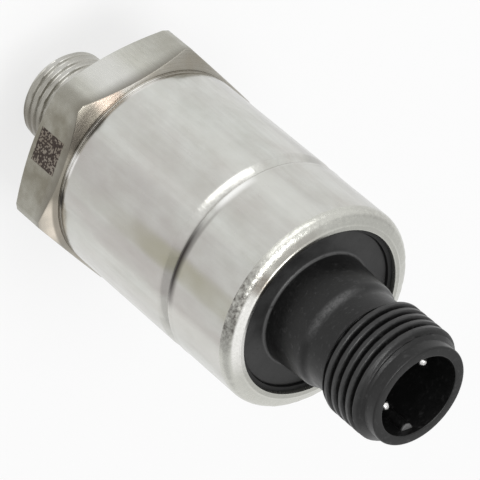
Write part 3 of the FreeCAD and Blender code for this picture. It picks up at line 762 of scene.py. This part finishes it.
FINISHES = {
    rubber: ("port_seal_ring", "can_seal"),
    laminate: ("gauge_board", "main_board", "connector_board"),
    pale: ("support_ring", "board_carrier"),
    header: ("gauge_header",),
    film: ("strain_gauge",),
    resin: ("amplifier", "regulator", "protection_diode"),
    brass: ("link_pins",),
    ceramic: ("signal_capacitors", "filter_capacitors"),
    cell: ("measuring_cell",),
}
for finish, nodes in FINISHES.items():
    for node in nodes:
        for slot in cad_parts[node].material_slots:
            slot.material = finish

# Floor and room: the floor's size in metres, the share of its paper that shows as plain white, how
# bright that white is, and how bright the room is
FLOOR_SIZE, FLOOR_WHITE, PAPER_LIGHT, SKY_LIGHT = 6.0, 0.72, 0.985, 0.74
# Darker parts of the room: azimuth, elevation, half-angles where it starts and is full, level
DARK_SIDES = ((178, 12, 55, 20, 0.7), (-75, 42, 50, 15, 0.72))
# Softboxes: azimuth, elevation, distance, width and height in metres, power in watts
SOFTBOXES = {"key_light": (80, 69, 0.9, 0.4, 0.4, 3.6), "front_light": (56, 15, 0.6, 0.6, 0.26, 0.65)}
# Camera on the +Y side: elevation and roll in degrees, aim and distance in millimetres, lens
CAMERA_ELEVATION, CAMERA_ROLL = 37.227, -130.289
CAMERA_AIM, CAMERA_DISTANCE, CAMERA_LENS = Vector((0.324, 0, 18.747)), 365.96, 297.154


def seen_ray(tree):
    """1 for rays from the camera or off metal or through glass, and 0 for the rest."""
    path = add_node(tree, "LightPath").outputs
    seen = path["Is Camera Ray"]
    for name in ("Is Glossy Ray", "Is Transmission Ray"):
        seen = add_node(tree, "Math", {0: seen, 1: path[name]}, operation="MAXIMUM").outputs[0]
    return seen


def floor_paper():
    """Matt white paper that partly shows as plain white, so that the shadow on it stays soft."""
    shader = Shader("floor_paper")
    fibre = shader.noise((0.1, 0.1, 0.1), 3.0)
    tone = shader.mix(shader.spread(fibre, 0.0, 1.0), grey(0.89), grey(0.90))
    paper = shader.add("BsdfDiffuse", {"Color": tone}).outputs[0]
    white = shader.add("Emission", {"Color": (1, 1, 1, 1), "Strength": PAPER_LIGHT}).outputs[0]
    share = shader.product(seen_ray(shader.tree), FLOOR_WHITE)
    both = shader.add("MixShader", {0: share, 1: paper, 2: white}).outputs[0]
    shader.add("OutputMaterial", {"Surface": both})
    return shader.material


def pale_floor():
    mesh = bmesh.new()
    bmesh.ops.create_grid(mesh, x_segments=8, y_segments=8, size=FLOOR_SIZE / 2)
    data = bpy.data.meshes.new("floor")
    mesh.to_mesh(data)
    mesh.free()
    data.materials.append(floor_paper())
    floor = bpy.data.objects.new("floor", data)
    floor.location.z = cad_bounds[0].z
    bpy.context.scene.collection.objects.link(floor)


def towards(azimuth, elevation):
    """Direction of an azimuth and elevation in degrees."""
    turn, tilt = math.radians(azimuth), math.radians(elevation)
    return Vector((math.cos(turn) * math.cos(tilt), math.sin(turn) * math.cos(tilt), math.sin(tilt)))


def world_light():
    """White to the camera; for the object a plain bright room with two darker sides."""
    world = bpy.data.worlds.new("studio")
    bpy.context.scene.world = world
    world.use_nodes = True
    tree = world.node_tree
    inputs = {"Value": seen_ray(tree), "To Min": SKY_LIGHT, "To Max": 1.0}
    room = add_node(tree, "MapRange", inputs).outputs[0]
    direction = add_node(tree, "TexCoord").outputs["Generated"]
    for azimuth, elevation, outer, inner, level in DARK_SIDES:
        ways = {0: direction, 1: towards(azimuth, elevation)}
        near = add_node(tree, "VectorMath", ways, operation="DOT_PRODUCT").outputs["Value"]
        limits = {"From Min": math.cos(math.radians(outer)), "From Max": math.cos(math.radians(inner))}
        inputs = {"Value": near, "To Min": 1.0, "To Max": level, **limits}
        shade = add_node(tree, "MapRange", inputs, interpolation_type="SMOOTHSTEP").outputs[0]
        room = add_node(tree, "Math", {0: room, 1: shade}, operation="MULTIPLY").outputs[0]
    camera_ray = add_node(tree, "LightPath").outputs["Is Camera Ray"]
    strength = add_node(tree, "Math", {0: room, 1: camera_ray}, operation="MAXIMUM").outputs[0]
    background = tree.nodes["Background"]
    background.inputs["Color"].default_value = (1, 1, 1, 1)
    tree.links.new(strength, background.inputs["Strength"])


def softbox(name, azimuth, elevation, distance, width, height, power):
    """Area light, aimed at the middle of the object."""
    data = bpy.data.lights.new(name, "AREA")
    data.shape, data.size, data.size_y, data.energy = "RECTANGLE", width, height, power
    lamp = bpy.data.objects.new(name, data)
    away = towards(azimuth, elevation)
    lamp.location = (cad_bounds[0] + cad_bounds[1]) / 2 + away * distance
    lamp.rotation_euler = away.to_track_quat("Z", "Y").to_euler()
    bpy.context.scene.collection.objects.link(lamp)


def camera_view():
    """Camera on the +Y side of the object, rolled about its own axis."""
    tilt, turn = math.radians(CAMERA_ELEVATION), math.radians(CAMERA_ROLL)
    back = Vector((0, math.cos(tilt), math.sin(tilt)))
    level_up = Vector((0, -math.sin(tilt), math.cos(tilt)))
    up = level_up * math.cos(turn) + level_up.cross(back) * math.sin(turn)
    right = up.cross(back)
    data = bpy.data.cameras.new("camera")
    data.sensor_width, data.lens, data.clip_start = 36, CAMERA_LENS, 0.01
    camera = bpy.data.objects.new("camera", data)
    camera.matrix_world = Matrix((right, up, back)).transposed().to_4x4()
    camera.matrix_world.translation = CAMERA_AIM * MM + back * CAMERA_DISTANCE * MM
    bpy.context.scene.collection.objects.link(camera)
    bpy.context.scene.camera = camera


pale_floor()
world_light()
for name, settings in SOFTBOXES.items():
    softbox(name, *settings)
camera_view()
bpy.context.scene.view_settings.view_transform = "Standard"

bpy.context.view_layer.update()
